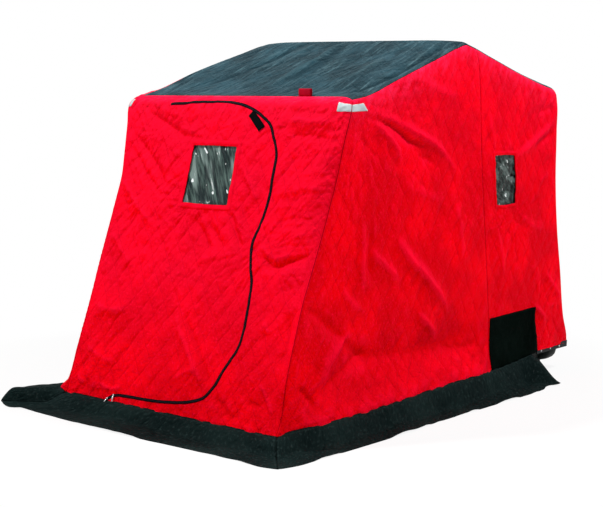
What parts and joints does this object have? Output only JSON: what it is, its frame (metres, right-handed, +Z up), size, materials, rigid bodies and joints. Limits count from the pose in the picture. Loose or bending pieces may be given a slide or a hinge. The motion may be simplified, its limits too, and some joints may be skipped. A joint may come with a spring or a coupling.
{
  "type": "flip-over ice fishing shelter",
  "caption": "Fabric ice fishing hut on a moulded sled: red quilted walls over folding bows, dark roof, zip door, clear windows and a black skirt lying on the ice.",
  "frame": {"origin": "on the ice under the middle of the hut's box", "axes": "+Y from the door end to the sled end, +X to the right seen from the door end, +Z up"},
  "size_m": [1.948, 3.178, 2.002],
  "materials": {
    "red_shell_cloth": "woven, quilted, slight sheen",
    "dark_roof_cloth": "coated weave, satin",
    "black_skirt_cloth": "heavy coated weave",
    "black_patch_cloth": "heavy coated weave",
    "clear_vinyl": "soft creased vinyl",
    "zip_tape": "coil zip on woven tape",
    "zip_pull": "worn",
    "hook_and_loop": "hook-and-loop pile",
    "reflective_tape": "retroreflective",
    "red_webbing": "webbing",
    "black_sled": "moulded polyethylene",
    "black_batten": "satin",
    "frame_tube": "satin",
    "black_collar": "moulded",
    "bracket_steel": "satin",
    "pin_steel": "plain"
  },
  "bodies": {
    "root": {"door_flap": "red_shell_cloth", "door_tie_tab": "hook_and_loop", "door_window": "clear_vinyl", "door_zipper": "zip_tape", "front_bow": "frame_tube", "front_skirt": "black_skirt_cloth", "front_wall": "red_shell_cloth", "left_arm_collars": "black_collar", "left_corner_patch": "black_patch_cloth", "left_front_arm": "frame_tube", "left_front_reflector": "reflective_tape", "left_middle_arm": "frame_tube", "left_pivot_bracket": "bracket_steel", "left_pivot_pins": "pin_steel", "left_rear_arm": "frame_tube", "left_side_batten": "black_batten", "left_side_front_panel": "red_shell_cloth", "left_side_rear_panel": "red_shell_cloth", "left_side_skirt": "black_skirt_cloth", "left_side_window": "clear_vinyl", "middle_bow": "frame_tube", "rear_batten": "black_batten", "rear_bow": "frame_tube", "rear_wall": "red_shell_cloth", "right_arm_collars": "black_collar", "right_corner_patch": "black_patch_cloth", "right_front_arm": "frame_tube", "right_front_reflector": "reflective_tape", "right_middle_arm": "frame_tube", "right_pivot_bracket": "bracket_steel", "right_pivot_pins": "pin_steel", "right_rear_arm": "frame_tube", "right_side_batten": "black_batten", "right_side_front_panel": "red_shell_cloth", "right_side_rear_panel": "red_shell_cloth", "right_side_skirt": "black_skirt_cloth", "right_side_window": "clear_vinyl", "roof_front_panel": "dark_roof_cloth", "roof_rear_panel": "dark_roof_cloth", "roof_strap_loop": "red_webbing", "sled": "black_sled", "sled_runners": "black_sled", "zipper_pulls": "zip_pull"}
  },
  "joints": []
}
